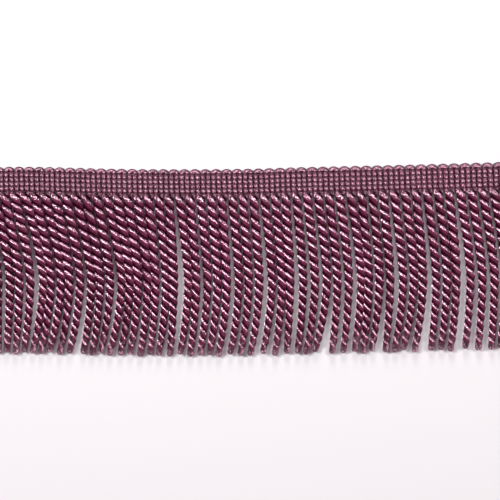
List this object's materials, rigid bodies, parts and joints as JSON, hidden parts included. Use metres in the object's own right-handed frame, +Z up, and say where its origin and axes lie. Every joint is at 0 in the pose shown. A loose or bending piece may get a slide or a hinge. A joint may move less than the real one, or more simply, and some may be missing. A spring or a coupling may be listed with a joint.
{
  "type": "bullion fringe trim, cut length",
  "caption": "Cut length of bullion fringe: a knitted heading with a looped edge and a row of twisted yarn cords that hang from it, lying face up.",
  "frame": {"origin": "centre of the whole trim's outline, on the surface it lies on", "axes": "+X along the trim, to the right when it is seen from above with its looped edge at the top; +Y from the cords' tips to the looped edge; +Z up, out of the trim's face"},
  "size_m": [0.2216, 0.0786, 0.003],
  "materials": {
    "heading_yarn": "satin",
    "cord_yarn": "satin"
  },
  "bodies": {
    "root": {"heading": "heading_yarn", "bullion_fringe": "cord_yarn"}
  },
  "joints": []
}
